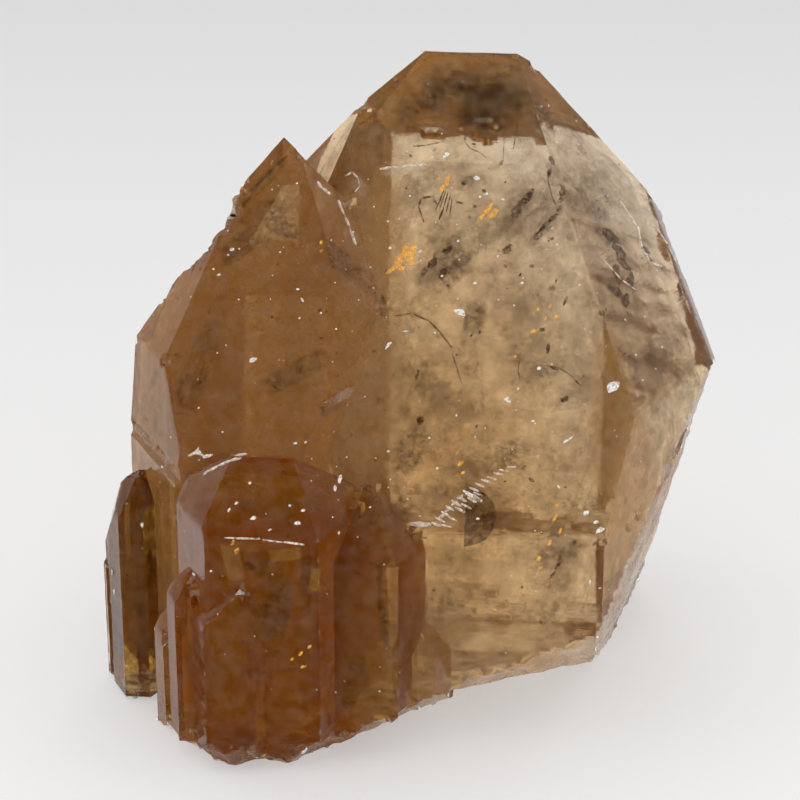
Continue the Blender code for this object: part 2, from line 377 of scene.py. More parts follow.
def grown_crystal():
    """The solid part, with its growth hillocks and the conchoidal scales of its breaks in the mesh itself."""
    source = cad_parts["citrine_point"]
    deselect()
    crystal = bpy.data.objects.new("crystal", source.data.copy())
    bpy.context.scene.collection.objects.link(crystal)
    crystal.matrix_world = source.matrix_world
    make_active(crystal)
    bpy.ops.object.transform_apply(location=True, rotation=True, scale=True)
    bpy.ops.object.mode_set(mode="EDIT")
    bpy.ops.mesh.select_all(action="SELECT")
    bpy.ops.mesh.remove_doubles(threshold=0.00002)
    bpy.ops.mesh.dissolve_limited(angle_limit=math.radians(0.5))
    bpy.ops.object.mode_set(mode="OBJECT")

    edges = long_edges(crystal)
    crystal.data.materials.clear()
    # Natural faces, polished and faintly lined, which mirror the light; then breaks, rough and patchy with frost.
    crystal.data.materials.append(quartz("grown_quartz", 0.12, 0.02, 3.0, 0.03, 0.5, 0.05, 2.6))
    crystal.data.materials.append(quartz("broken_quartz", 0.42, 0.15, 2.2, 0.35, 0.0, 0.45, 20.0))

    # Even faces of about a millimetre, which keep the sharp edges, carry the relief.
    even = crystal.modifiers.new("even", "REMESH")
    even.mode, even.octree_depth, even.scale, even.sharpness = "SHARP", 7, 0.98, 1.0
    apply_modifiers(crystal)

    upright = crystal.vertex_groups.new(name="sides")
    sloped = crystal.vertex_groups.new(name="tips")
    rough = crystal.vertex_groups.new(name="breaks")
    grown = [outward(azimuth, lean) for column in COLUMNS
             for azimuth, lean, _ in column_faces(column) if lean >= 0.0]
    for face in crystal.data.polygons:
        flat = any(face.normal.dot(normal) > math.cos(math.radians(FLAT_WITHIN)) for normal in grown)
        face.material_index = 0 if flat else 1
        steep = abs(face.normal.z) < math.sin(math.radians(SIDES_LEAN_UNDER))
        group = rough if not flat else upright if steep else sloped
        group.add(list(face.vertices), 1.0, "REPLACE")

    # Growth lines on the sides, hillocks on the tips, shell-like scales and grit on the breaks, all in millimetres.
    for group, kind, grain, flattening, height in (
        ("sides", "CLOUDS", 3.0, (0.08, 0.08, 1.0), 0.16),
        ("sides", "CLOUDS", 9.0, (1.0, 1.0, 0.5), 0.22),
        ("tips", "CLOUDS", 6.0, (1.0, 1.0, 1.0), 0.22),
        ("breaks", "VORONOI", 6.0, (1.0, 1.0, 1.0), 1.1),
        ("breaks", "CLOUDS", 2.0, (1.0, 1.0, 1.0), 0.5),
    ):
        pattern = bpy.data.textures.new(f"{group}_{kind}_{grain:.0f}", kind)
        pattern.noise_scale = 1.0
        frame_of_pattern = bpy.data.objects.new("pattern_frame", None)
        bpy.context.scene.collection.objects.link(frame_of_pattern)
        frame_of_pattern.scale = [grain * MM / share for share in flattening]
        bpy.context.view_layer.update()
        relief = crystal.modifiers.new(f"{group} {kind}", "DISPLACE")
        relief.texture, relief.texture_coords, relief.texture_coords_object = pattern, "OBJECT", frame_of_pattern
        relief.vertex_group, relief.strength, relief.mid_level = group, height * MM, 1.0
        apply_modifiers(crystal)
        bpy.data.objects.remove(frame_of_pattern)
    make_active(crystal)
    bpy.ops.object.shade_smooth_by_angle(angle=math.radians(SMOOTH_UNDER))

    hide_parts("citrine_point")
    return finished(crystal, "crystal"), edges


# What the faces carry and what lies under them

# Every table goes by the column and the number of its face: 0 to 5 are its sides and 6 to 11 its tip faces,
# from the front by the right. A row is a mark's place across the face and its height, its length and width in
# millimetres, and its turn on the face in degrees.
# Films of air in the finest cracks, with a painted golden glint.
GOLD_FILMS = {
    ("main_point", 6): ((-16.5, 91.9, 3.2, 1.6, 60), (-15.6, 93.7, 2.6, 1.2, 70), (-14.7, 92.4, 3, 2, 50),
        (-17.2, 90.7, 3, 1, 40), (-18.4, 89.9, 2.5, 0.9, 35), (-14, 93.6, 2, 1.4, 80), (-16, 90.3, 1.6, 0.8, 30),
        (-14, 91.3, 1.4, 0.8, 20), (-7.9, 105, 3.4, 0.8, 75), (-8.8, 103.8, 2, 0.8, 65),
        (-7.7, 105.7, 1.5, 0.5, 80), (0.3, 100.1, 3, 0.8, 50), (1.1, 101.1, 1.6, 0.6, 50),
        (-0.8, 98.9, 2.2, 0.7, 50), (1.6, 99.8, 3.2, 1.4, 45), (11.7, 84.5, 1.2, 0.6, 80),
        (13.2, 82.9, 1.4, 0.5, 70), (11.1, 80.9, 1.8, 0.6, 20), (14, 85, 1, 0.4, 60), (15.3, 83.4, 1, 0.5, 50),
        (7.5, 76.6, 0.8, 0.5, 40), (-2.3, 59.2, 1.6, 0.7, 45), (-3, 60.9, 1.2, 0.5, 60),
        (-1.7, 57.8, 1.2, 0.5, 40), (16.8, 51.3, 2, 0.6, 60), (17.1, 53.1, 1.4, 0.5, 50),
        (17.9, 49.2, 1.6, 0.5, 70)),
    ("main_point", 0): ((15.9, 46.3, 1.6, 0.6, 70), (13.8, 42.9, 1.6, 0.8, 60), (14.2, 40.7, 1, 0.5, 50),
        (-3.1, 37.2, 1, 0.5), (5.3, 30.8, 0.8, 0.4)),
    ("side_point", 6): ((11.1, 96.8, 1, 0.6, 80), (11.2, 95.5, 0.8, 0.5, 70)),
    ("broad_rib", 0): ((-4.8, 50.7, 1.4, 0.6, 60), (-4, 49, 1.6, 0.8, 70), (8.1, 26.9, 1.5, 0.6, 50),
        (9.9, 28.6, 1.2, 0.5, 50), (6.5, 25.7, 1.2, 0.5, 40), (8.6, 24, 1.4, 0.6, 30)),
}
# Flakes and needles of brown iron minerals just under the faces.
DARK_FLAKES = {
    ("main_point", 6): ((6.4, 100.4, 3, 2, 70), (7.1, 101.6, 2, 1.2, 60), (8.3, 102.4, 3, 1.6, 65),
        (9.2, 103.5, 2.4, 1, 70), (11, 96.4, 2.6, 1.4, 60), (12.3, 98.1, 3.2, 1.2, 50),
        (13.7, 99.4, 2.6, 0.9, 45), (15, 101, 1.6, 0.8, 50), (15.1, 102.3, 1.6, 1, 60), (4.9, 93.9, 2, 1.6, 20),
        (5.5, 94.6, 1, 0.8), (12.7, 106.9, 2.2, 0.8, 70), (2.9, 108.3, 1.4, 0.6, 60), (13.9, 96, 1, 0.6, 50),
        (17, 85.9, 2.2, 0.5, 70), (15, 89.1, 1.2, 0.4, 70), (14, 78.1, 2.4, 0.8, 85), (-11.3, 90.1, 2.6, 1.2, 50),
        (-10, 91.4, 2.6, 1.6, 60), (-7.7, 89.8, 2.4, 1.6, 60), (-7.1, 93.5, 2.4, 1.4, 40),
        (-10.7, 65.8, 2, 1.6, 80), (-11.8, 73, 2.2, 0.7, 80), (17.8, 70.1, 1.8, 1.2, 30), (15.2, 75, 2, 0.6, -20),
        (10.3, 58.9, 1.2, 0.7, 40), (11.8, 57.1, 1.4, 0.7, -30), (-9.1, 102, 4.6, 0.35, 70),
        (-8.7, 101.7, 4.4, 0.3, 74), (-8, 101.5, 4.8, 0.3, 77), (-7.4, 101.2, 4.6, 0.3, 80),
        (-6.8, 100.7, 3.8, 0.3, 84), (-9.4, 101.1, 3.4, 0.3, 66), (-8.7, 99.5, 3, 0.5, 70),
        (-5.2, 101.6, 1.6, 0.5, -10), (-4.4, 104.9, 1.4, 1.2)),
    ("main_point", 7): ((10.6, 103.5, 2.2, 1.2, 40), (12.8, 108.8, 2.2, 1.6, 70), (17.3, 93.9, 5, 2.6, -50),
        (16.9, 91.1, 4.5, 2.4, -60), (16.3, 89, 4.5, 2, -60), (12.9, 88.5, 4, 2.4, 30), (15.3, 86, 4, 2, 40),
        (9.6, 85.8, 5, 2.4, -60), (10.8, 83.6, 4, 2, 30), (25.5, 89, 3, 1.4, -60), (24.7, 87.4, 3.4, 0.8, -60)),
    ("main_point", 0): ((20.8, 46.5, 1.4, 0.9, 50), (24.7, 46.5, 1.2, 0.6, 70), (17.7, 41.3, 2.2, 0.8, 60),
        (16.6, 39, 2.2, 0.6, 60), (18.1, 43.1, 1.6, 0.6, 55)),
}
# Fine cracks stained brown.
DARK_CRACKS = {
    ("main_point", 6): ((-4.8, 114, 2.6, 0.25, -68), (-4.6, 112.4, 1.9, 0.25, -107),
        (-4.2, 111.1, 2.3, 0.25, -52), (-2.4, 110.1, 2.6, 0.25, -23), (-0.7, 109.3, 1.6, 0.25, -44),
        (-11.1, 111, 3.1, 0.35, -166), (-13.9, 110.6, 3.1, 0.35, -174), (5.8, 114.5, 3.2, 0.3, -95),
        (5.4, 111.8, 4, 0.3, -96), (3.3, 113.2, 3.3, 0.2, -91), (3.3, 110.3, 4.4, 0.2, -90),
        (-13.1, 101.3, 1.9, 0.6, 78), (-11.7, 102.1, 2.8, 0.6, 12), (-10.1, 101.6, 2.2, 0.6, -62),
        (-12.7, 99.2, 4, 0.4, -68), (12.6, 106.5, 2.8, 0.4, -92), (13, 104.2, 3.7, 0.4, -74),
        (13.9, 102.2, 2.3, 0.4, -65), (8.4, 75.8, 3.9, 0.3, -94), (8.5, 73.6, 2.3, 0.3, -76),
        (-15.2, 82.7, 3.8, 0.5, 12), (-11.8, 82.4, 3.8, 0.5, -22), (-8.9, 81, 3.8, 0.5, -43),
        (-6.4, 78.8, 4.4, 0.5, -51), (-4.6, 75.8, 3, 0.3, -71), (-3.4, 73.2, 4.5, 0.3, -71),
        (12.1, 75, 3.3, 0.4, 14), (15.1, 75.1, 3.3, 0.4, -10), (17.8, 74.3, 3.1, 0.4, -32),
        (19.8, 73, 2.7, 0.4, -47)),
    ("side_point", 6): ((2, 109.8, 3.6, 0.8, -136), (-0.3, 107.8, 4.4, 0.8, -129), (-2.7, 105.6, 3.9, 0.8, -131)),
    ("side_point", 11): ((-8.2, 90.7, 3.5, 0.3, -66),),
}
# Knocks on the faces, in white crushed quartz with a painted glow.
BRUISES = {
    ("main_point", 6): ((-8.3, 109.2, 1.6, 1.2, 30), (-1.8, 105.5, 1.4, 1, -20), (-3.9, 83.4, 2.6, 1.6, -25),
        (6.5, 69.5, 1.5, 1.1, -40), (8.4, 71.3, 0.9, 0.5, 50), (12.4, 74.8, 0.9, 0.8), (14.9, 75.5, 0.7, 0.5),
        (27.2, 72.3, 3.2, 2.2, 30), (0.2, 102.9, 0.8, 0.6), (-1, 102.4, 0.6, 0.5), (3.6, 102.1, 0.9, 0.5),
        (-19.3, 97.9, 0.6, 0.5), (-12.5, 93.1, 0.9, 0.6, 20), (-18.6, 93.5, 0.7, 0.6), (-5, 95, 0.6, 0.6),
        (-7.8, 89.2, 0.7, 0.5), (-1.2, 88.2, 0.8, 0.6), (3.2, 92.7, 0.5, 0.5), (8.3, 88.5, 0.8, 0.6),
        (14.9, 94.9, 0.5, 0.5), (19.8, 88.5, 0.6, 0.4), (-15.2, 102.2, 0.5, 0.4), (-11.1, 108.8, 0.5, 0.4),
        (-3.6, 66.8, 0.6, 0.5, 60), (-8.7, 63, 0.5, 0.5), (0.4, 63.4, 0.5, 0.5), (-16.7, 60.6, 0.6, 0.5),
        (-6.8, 58.2, 0.6, 0.5), (-12.4, 53.2, 0.6, 0.5), (11.7, 66.3, 0.8, 0.5), (17.2, 56.1, 1.2, 0.4, -50),
        (22.9, 52.1, 1.4, 1, 30), (24.9, 50.7, 1.2, 0.9), (1.7, 50.5, 0.8, 0.6), (0.8, 53.1, 0.5, 0.5),
        (18.7, 63.5, 2.8, 0.5, 35), (-17.9, 77.6, 2, 0.8, 50), (-14.5, 80, 1.6, 0.2, 5),
        (25.7, 49.5, 2, 1.2, 30)),
    ("main_point", 0): ((24.1, 38.4, 1.2, 0.4, 80), (26.1, 37.2, 0.6, 0.4)),
    ("side_point", 6): ((-6.6, 95.1, 1, 0.8), (-7.3, 94.2, 0.5, 0.4), (-10.1, 91.8, 0.6, 0.4),
        (-8.9, 90.9, 0.9, 0.5), (7.1, 89, 0.8, 0.4), (8.1, 87.3, 1.2, 0.5, -60), (12, 85.3, 0.5, 0.4),
        (15.2, 82.8, 0.5, 0.4), (-0.9, 77.4, 1.8, 1, 20), (8.5, 64.4, 0.9, 0.6), (10.6, 64.6, 0.7, 0.5, 40),
        (-10.7, 62.4, 1.6, 1.2)),
    ("broad_rib", 6): ((-2, 60.8, 0.7, 0.6), (-4.4, 57.6, 0.9, 0.6, 30), (-5.7, 56.5, 1, 0.5, 60),
        (-0.9, 55.4, 1.3, 0.9, 10), (8.7, 56.9, 1, 0.6), (7.7, 54.9, 1.4, 1), (6.1, 57.6, 0.7, 0.5),
        (2.5, 53.7, 0.9, 0.4, 20)),
    ("broad_rib", 0): ((-9, 44.8, 0.6, 0.4),),
    ("broad_rib", 5): ((5.1, 41, 1.4, 0.5),),
    ("broad_rib", 7): ((3.6, 58.5, 2.4, 0.8, 30), (1.1, 57.7, 1.6, 0.8, 40)),
    ("broad_rib", 1): ((-3.7, 51.2, 0.8, 0.5, 60),),
    ("pointed_rib", 6): ((0.4, 54.2, 0.6, 0.4),),
    ("side_point", 5): ((6.7, 55.6, 0.7, 0.5),),
    ("left_upper", 0): ((1.9, 41.3, 1.2, 0.8, 80),),
    ("left_upper", 5): ((0.1, 27.9, 1.3, 0.5, 85), (0.8, 23.6, 1.3, 0.5, 85)),
    ("side_point", 0): ((-8.6, 61.7, 2.4, 0.7, 15), (-2.2, 62.2, 3, 0.6, 12)),
}
# Bright lines where a face is cracked or an edge is crushed: white crushed quartz with a painted glow.
PALE_CRACKS = {
    ("broad_rib", 11): ((0.5, 60.1, 1.5, 0.6, 59), (1.8, 61.4, 3.3, 0.6, 47), (4, 63.2, 3.8, 0.6, 45)),
    ("broad_rib", 6): ((-5.1, 64.4, 2.6, 0.6, 18), (3.1, 52, 4.3, 0.35, -5)),
    ("side_point", 0): ((-11.6, 62, 2.3, 0.5, 26),),
    ("side_point", 6): ((-9.8, 62, 2.2, 0.5, -20), (-10.6, 62.9, 1.5, 0.4, 76)),
    ("broad_rib", 0): ((-2.8, 52.2, 8, 0.35, 1), (7.3, 51.6, 4.5, 0.35, -6)),
    ("main_point", 6): ((-20.1, 106.7, 3.4, 0.5, 10), (-16.8, 107.1, 3.8, 0.5, 9), (-13.6, 107.4, 3.3, 0.5, 6),
        (-27.9, 105.5, 1.8, 0.3, 33), (-26.6, 105.4, 2, 0.3, -44), (-25.7, 104.2, 1.9, 0.3, -73),
        (-25.9, 103.1, 1.8, 0.3, -126)),
    ("side_point", 7): ((14.6, 105.4, 1.9, 0.7, -85), (15.3, 104.1, 2.6, 0.7, -57), (16.8, 100.9, 3, 0.6, -102),
        (16.2, 98.5, 3.9, 0.6, -100), (15.3, 95.7, 4.1, 0.6, -106)),
    ("main_point", 7): ((25.1, 91.3, 5.6, 0.5, -122), (23.7, 88.2, 3.6, 0.5, -91), (25.1, 86.1, 3.8, 0.5, -35),
        (11.3, 89.3, 7, 0.3, -71), (13.6, 85.5, 4.2, 0.3, -54), (25.7, 96.5, 3.9, 0.25, -84),
        (25.9, 93.5, 4.2, 0.25, -90), (31.9, 89.7, 5.1, 0.3, -86), (31.9, 86.2, 4.1, 0.3, -96)),
}
# A break in the big front face that climbs in small steps, like a row of fish scales, drawn in white with a painted
# glow.
STEPPED_BREAK = {
    ("main_point", 6): ((-5.7, 50.1, 2.4, 0.5, -25), (-4.6, 51, 2.4, 0.5, -28), (-3.9, 52, 2.2, 0.5, -25),
        (-2.7, 52.8, 2.6, 0.5, -30), (-1.6, 53.5, 2.4, 0.5, -25), (-0.5, 54.5, 2.6, 0.6, -25),
        (0.7, 55.1, 2.4, 0.5, -20), (1.8, 55.8, 2.2, 0.5, -20), (3, 56.5, 2.4, 0.5, -15),
        (4.1, 57, 2.2, 0.4, -15), (5.3, 57.7, 2.2, 0.5, -10), (6.4, 58.3, 2.2, 0.4, -10), (7.9, 58.9, 2, 0.4),
        (-6.5, 49.4, 2.2, 0.6, -20), (-4.5, 49.2, 3, 0.4, -12), (-3.4, 50.4, 2.6, 0.4, -25),
        (-1.9, 51.8, 2.6, 0.4, -25), (-0.7, 52.4, 2.6, 0.4, -25), (0.4, 53.4, 2.4, 0.4, -25),
        (1.5, 54.4, 2.2, 0.4, -20), (-5.4, 50.7, 1.6, 0.7, 40), (-4.3, 51.8, 1.6, 0.7, 40),
        (-3.1, 52.8, 1.6, 0.6, 40), (-2, 53.8, 1.6, 0.6, 40), (0.7, 53.9, 4.2, 1, -25), (-9.6, 49.3, 5, 1.1)),
}
# The dark half-round patch behind that break.
HALF_ROUND_PATCH = {
    ("main_point", 6): ((-0.9, 51, 11.5, 12.6, 90),),
}
# Curved films of smoky haze: across, height, length, width, turn, depth and, where it has one, tilt.
SMOKY_FILMS = {
    ("main_point", 6): ((-2.6, 96, 30, 7, 40, 5, 20), (-7.4, 91, 14, 8, 50, 6, 10), (4.2, 99.5, 18, 5, 50, 4, 30),
        (11.2, 99.7, 16, 5, 45, 3), (-0.9, 83.8, 14, 5, 85, 5), (-9.7, 80.3, 18, 5, -40, 6),
        (16.7, 73, 18, 12, 10, 4), (-5.9, 53.2, 26, 9, 15, 5), (-1.6, 80, 20, 4, 82, 2),
        (-0.5, 72, 16, 5, 95, 3, 20), (-12, 74, 22, 6, -50, 3), (4, 60, 20, 7, 20, 3), (-14, 60, 18, 8, 60, 3),
        (7, 99, 10, 3, 62, 1.2), (12, 98, 12, 3, 55, 1.2), (-4.2, 105.4, 4, 4, 0, 4), (-4.1, 119, 24, 12, 0, 1.2),
        (0, 118, 22, 11, 0, 2.4), (-2, 120, 22, 10, 10, 3.6), (-3, 119, 20, 9, -10, 5), (1, 119, 18, 9, 8, 7),
        (-8, 117, 26, 15, 0, 1.8), (5, 117.5, 24, 15, 0, 3), (-1, 122, 26, 10, 0, 2.2)),
    ("main_point", 0): ((17.9, 43, 10, 8, 60, 4),),
    ("main_point", 7): ((23.1, 102.4, 10, 7, -30, 2), (17.2, 92.8, 12, 6, -50, 2), (12.4, 85.9, 14, 8, -60, 2),
        (14.5, 95.4, 8, 3, -70, 1), (14, 103, 24, 7, -58, 1.5), (8, 72, 16, 8, 0, 3), (15, 74, 12, 5, -20, 1.5)),
    ("side_point", 6): ((-1.4, 106.4, 14, 2.8, 50, 0.9), (-2.5, 101.5, 13, 5, 10, 0.9), (-5, 96, 12, 5, 40, 1),
        (3, 99, 9, 4, -30, 1), (-12, 76, 22, 6, 75, 1), (8, 76, 16, 5, 30, 1)),
    ("broad_rib", 6): ((1.5, 58.3, 13, 7, 0, 3),),
    ("broad_rib", 0): ((0.8, 38.9, 20, 12, 85, 3), (9.4, 42, 16, 2.4, 88, 0.75), (-1.5, 47, 9, 5, 10, 0.9),
        (3.5, 36, 14, 6, 80, 1)),
    ("pointed_rib", 0): ((3.6, 36, 22, 2.4, 92, 1), (-2.5, 18, 14, 4, 80, 1)),
    ("side_point", 7): ((10, 92, 26, 6, -60, 0.9),),
    ("side_point", 13): ((2, 78, 24, 3, 60, 0.9),),
}
# Brown haze close under the faces of the darker columns.
UMBER_FILMS = {
    ("broad_rib", 0): ((1, 30, 44, 26, 90, 1.1),),
    ("broad_rib", 6): ((0, 60, 24, 15, 0, 1.1),),
    ("broad_rib", 5): ((2, 36, 26, 12, 90, 1.1),),
    ("broad_rib", 11): ((2, 58, 16, 11, 45, 1.1),),
    ("broad_rib", 7): ((1, 58, 13, 10, 0, 1.1),),
    ("pointed_rib", 0): ((0, 24, 42, 12, 90, 1.1), (0, 24, 40, 11, 90, 2)),
    ("pointed_rib", 7): ((-3, 48, 14, 6, 90, 1.1),),
    ("front_rib", 0): ((0, 26, 38, 9, 90, 1.1),),
    ("left_upper", 0): ((0.3, 29, 38, 7, 90, 1.1), (0.3, 29, 38, 6, 90, 1.6)),
    ("left_upper", 5): ((2, 29, 36, 5, 90, 1.1),),
    ("side_point", 5): ((1, 52, 64, 24, 90, 1.1), (1, 52, 60, 22, 90, 2)),
    ("side_point", 13): ((-4, 74, 40, 26, 90, 1.1), (-4, 74, 36, 24, 90, 2)),
}
# Flat faces of air in cracks: their honey-yellow shine, standing for light mirrored from behind them, is painted with
# a glow.
HONEY_FILMS = {
    ("broad_rib", 0): ((-4.8, 46.5, 8, 3.4, 100, 0.8), (11, 43.5, 5, 1.8, 88, 0.8), (5.5, 48.8, 6, 2.6, 10, 0.8)),
    ("side_point", 5): ((11.1, 45, 26, 3, 90, 0.8),),
}
# Films of air in fresh cracks, with a painted silvery sheen where they part.
SILVER_FILMS = {
    ("main_point", 7): ((24, 98, 16, 8, -50, 1, 10), (27, 92, 14, 6, -60, 1.2, -10),
        (21, 96, 12, 5, -40, 1.8, 15), (30, 95, 10, 5, -70, 0.9), (26, 86, 12, 4, -80, 1)),
    ("main_point", 6): ((-17, 106.5, 9, 3, 8, 1), (-25.5, 103.5, 5, 3, -60, 1)),
}
# Pale haze close under the faces, where two columns meet and along the right of the main point, with a painted glow.
MILKY_FILMS = {
    ("main_point", 6): ((-22.5, 84, 80, 17, 90, 1.1), (-22, 80, 72, 15, 90, 2.2), (27.5, 68, 42, 12, 90, 1.1),
        (27.5, 68, 40, 10, 90, 2.2)),
    ("main_point", 5): ((11, 62, 26, 44, 0, 1.1), (9, 66, 24, 40, 0, 2.2)),
    ("main_point", 11): ((10, 98, 24, 42, 0, 1.1), (8, 96, 24, 38, 0, 2.2)),
    ("main_point", 12): ((-12, 64, 24, 54, 0, 1.1), (-10, 62, 24, 50, 0, 2.2)),
}


def on_face(column, number, across, height, depth=0.0):
    """A place on or under a face, with the face's right, upward and outward directions."""
    azimuth, lean, reach = column_faces(column)[number]
    turn = math.radians(azimuth)
    out, right = outward(azimuth, lean), Vector((math.cos(turn), math.sin(turn), 0.0))
    level = outward(azimuth) * (reach - height * math.tan(math.radians(lean))) + right * across
    place = on_plan(*COLUMNS[column][0], height) + (level - out * depth) * MM
    return place, right, out.cross(right), out


def laid(column, number, across, height, length, width, turn, depth, thickness, tilt=0.0):
    """The matrix that lays a piece of one metre's size on a face at a mark's size, turn and tilt."""
    place, right, up, out = on_face(column, number, across, height, depth)
    axes = Matrix((right, up, out)).transposed().to_4x4()
    spin = Matrix.Rotation(math.radians(turn), 4, "Z") @ Matrix.Rotation(math.radians(tilt), 4, "X")
    size = Matrix.Diagonal((length * MM, width * MM, thickness * MM, 1.0))
    return Matrix.Translation(place) @ axes @ spin @ size


def crumb(kind, seed):
    """A start for small pieces: an uneven plate, splinter or grain one metre in size."""
    deselect()
    if kind == "grain":
        bpy.ops.mesh.primitive_ico_sphere_add(subdivisions=1, radius=0.5)
    else:
        bpy.ops.mesh.primitive_cylinder_add(vertices=6, radius=0.5, depth=1.0)
    bpy.ops.object.mode_set(mode="EDIT")
    bpy.ops.mesh.select_all(action="SELECT")
    bpy.ops.transform.vertex_random(offset={"splinter": 0.03, "plate": 0.17, "grain": 0.24}[kind], seed=seed)
    bpy.ops.object.mode_set(mode="OBJECT")
    return bpy.context.object


def half_round():
    """Half a disc one metre long, its round side towards the right when it stands on end."""
    deselect()
    bpy.ops.mesh.primitive_cylinder_add(vertices=40, radius=0.5, depth=1.0)
    bpy.ops.object.mode_set(mode="EDIT")
    cleave((0.0, 0.0, 0.0), (0.0, 1.0, 0.0))
    bpy.ops.mesh.select_all(action="SELECT")
    bpy.ops.transform.vertex_random(offset=0.02, seed=4)
    bpy.ops.object.mode_set(mode="OBJECT")
    return bpy.context.object


def set_out(name, starts, places, material):
    """Copies the starts in turn to every place and joins the copies into one piece."""
    copies = []
    for number, place in enumerate(places):
        start = starts[number % len(starts)]
        copy = bpy.data.objects.new(name, start.data.copy())
        bpy.context.scene.collection.objects.link(copy)
        copy.data.transform(place)
        copies.append(copy)
    for start in starts:
        bpy.data.objects.remove(start)
    return joined(copies, name, material)


def rows_laid(table, depths, thickness, chance):
    """Every row of a table, each at a depth drawn between two. A row that gives no turn lies level."""
    return [laid(column, number, *(row + (0.0,))[:5], chance.uniform(*depths), thickness, chance.uniform(-12.0, 12.0))
            for (column, number), rows in table.items() for row in rows]


def surface_places(crystal, count, chance, sizes, sunk, flatness, low=3.0, high=120.0):
    """Places all over the crystal, found by lines that strike it from every side but below.

    Where the places lie low, the lines are level. The sizes in millimetres favour the small ones.
    """
    places = []
    while len(places) < count:
        turn, lift = chance.uniform(0.0, 2 * math.pi), chance.uniform(-0.1, 1.2) if high > 50.0 else 0.0
        inward = -Vector((math.cos(turn) * math.cos(lift), math.sin(turn) * math.cos(lift), math.sin(lift)))
        aim = Vector((chance.uniform(-60, 60), chance.uniform(-48, 48), chance.uniform(low, high))) * MM
        struck, place, normal, _ = crystal.ray_cast(aim - inward * 0.3, inward)
        size = chance.uniform(*sizes) ** 2 / sizes[1]
        spin = chance.uniform(0.0, 360.0)
        if not struck or place.z < low * MM:
            continue
        along = normal.cross(Vector((0.3, 0.5, 0.8))).normalized()
        axes = Matrix((along, normal.cross(along), normal)).transposed().to_4x4()
        shape = Matrix.Diagonal((size * MM, size * chance.uniform(0.4, 0.9) * MM, size * flatness * MM, 1.0))
        places.append(Matrix.Translation(place - normal * sunk * size * MM) @ axes
                      @ Matrix.Rotation(math.radians(spin), 4, "Z") @ shape)
    return places


# In millimetres: how near the crystal's surface must be to a drawn edge for it to be worn and painted with
# highlights there, and the widest gap between two knocks.
EDGE_REACH = 0.6
WIDEST_GAP = 14.0


def edge_places(crystal, edges, chance):
    """Small knocks and painted highlights along the long edges between faces, closer together on some stretches than
    on others.
    """
    places = []
    for start, end, out in edges:
        along = (end - start).normalized()
        axes = Matrix((along, out.cross(along), out)).transposed().to_4x4()
        at = chance.uniform(0.0, 1.5) * MM
        while at < (end - start).length:
            length, width = chance.uniform(0.4, 2.6), chance.uniform(0.08, 0.2)
            shape = Matrix.Diagonal((length * MM, width * MM, 0.6 * width * MM, 1.0))
            _, nearest, normal, _ = crystal.closest_point_on_mesh(start + along * at)
            if (start + along * at - nearest).length < EDGE_REACH * MM:
                places.append(Matrix.Translation(nearest - normal * 0.3 * width * MM) @ axes @ shape)
            at += chance.uniform(0.3, 1.0) ** 2 * WIDEST_GAP * MM
    return places


# The long edges that get worn and painted highlights: their least length and height in millimetres, and least bend in
# degrees.
LONG_EDGE = 8.0
CLEAR_OF_BASE = 6.0
SHARP_BEND = 20.0
# Films come no closer than this to the outside, in millimetres.
FILM_CLEARANCE = 0.15


def long_edges(piece):
    """The outward edges of a merged mesh that are long, sharp and clear of the base: their ends and direction."""
    faces = {}
    for face in piece.data.polygons:
        for pair in face.edge_keys:
            faces.setdefault(pair, []).append(face)
    found = []
    for (first, second), sides in faces.items():
        start, end = piece.data.vertices[first].co.copy(), piece.data.vertices[second].co.copy()
        if len(sides) != 2 or (end - start).length < LONG_EDGE * MM:
            continue
        one, other = sides
        out = (one.normal + other.normal).normalized()
        outward_bend = (other.center - one.center).dot(one.normal) < 0.0
        sharp = one.normal.dot(other.normal) < math.cos(math.radians(SHARP_BEND))
        if outward_bend and sharp and start.z + end.z > 2 * CLEAR_OF_BASE * MM:
            found.append((start, end, out))
    return found


def within(crystal, place):
    """Whether two lines outward from the place each pass the surface an odd number of times."""
    for along in (Vector((0.31, 0.23, 0.92)).normalized(), Vector((-0.62, 0.41, 0.67)).normalized()):
        passed = 0
        struck, met, _, _ = crystal.ray_cast(place, along)
        while struck:
            passed += 1
            struck, met, _, _ = crystal.ray_cast(met + along * 0.002 * MM, along)
        if passed % 2 == 0:
            return False
    return True


def trimmed(sheet, crystal):
    """Takes away what of a film would come too close to the outside of the crystal, or past it."""
    make_active(sheet)
    bpy.ops.object.mode_set(mode="EDIT")
    bpy.ops.mesh.select_all(action="DESELECT")
    bpy.ops.object.mode_set(mode="OBJECT")
    for vertex in sheet.data.vertices:
        _, nearest, _, _ = crystal.closest_point_on_mesh(vertex.co)
        vertex.select = (nearest - vertex.co).length < FILM_CLEARANCE * MM or not within(crystal, vertex.co)
    bpy.ops.object.mode_set(mode="EDIT")
    bpy.ops.mesh.delete(type="VERT")
    bpy.ops.object.mode_set(mode="OBJECT")


def films(name, table, material, crystal):
    """Curved films, one piece to a face: each sheet is waved in its mesh and trimmed to the crystal."""
    for film, ((column, number), rows) in enumerate(table.items()):
        sheets = []
        for row in rows:
            depth = row[5]
            deselect()
            bpy.ops.mesh.primitive_grid_add(x_subdivisions=40, y_subdivisions=20, size=1.0)
            sheet = bpy.context.object
            sheet.data.transform(laid(column, number, *row[:6], 1.0, *row[6:]))
            pattern = bpy.data.textures.new(f"{name}_wave_{film}", "CLOUDS")
            pattern.noise_scale = 5 * MM
            wave = sheet.modifiers.new("waved", "DISPLACE")
            wave.texture, wave.texture_coords, wave.strength = pattern, "LOCAL", min(1.6, 0.7 * depth) * MM
            apply_modifiers(sheet)
            trimmed(sheet, crystal)
            sheets.append(sheet)
        joined(sheets, f"{name}_{column}_{number}", material)


# How many small marks are spread at random.
DUST_PITS = 800
SPECKS = 500
RIM_SCALES = 420


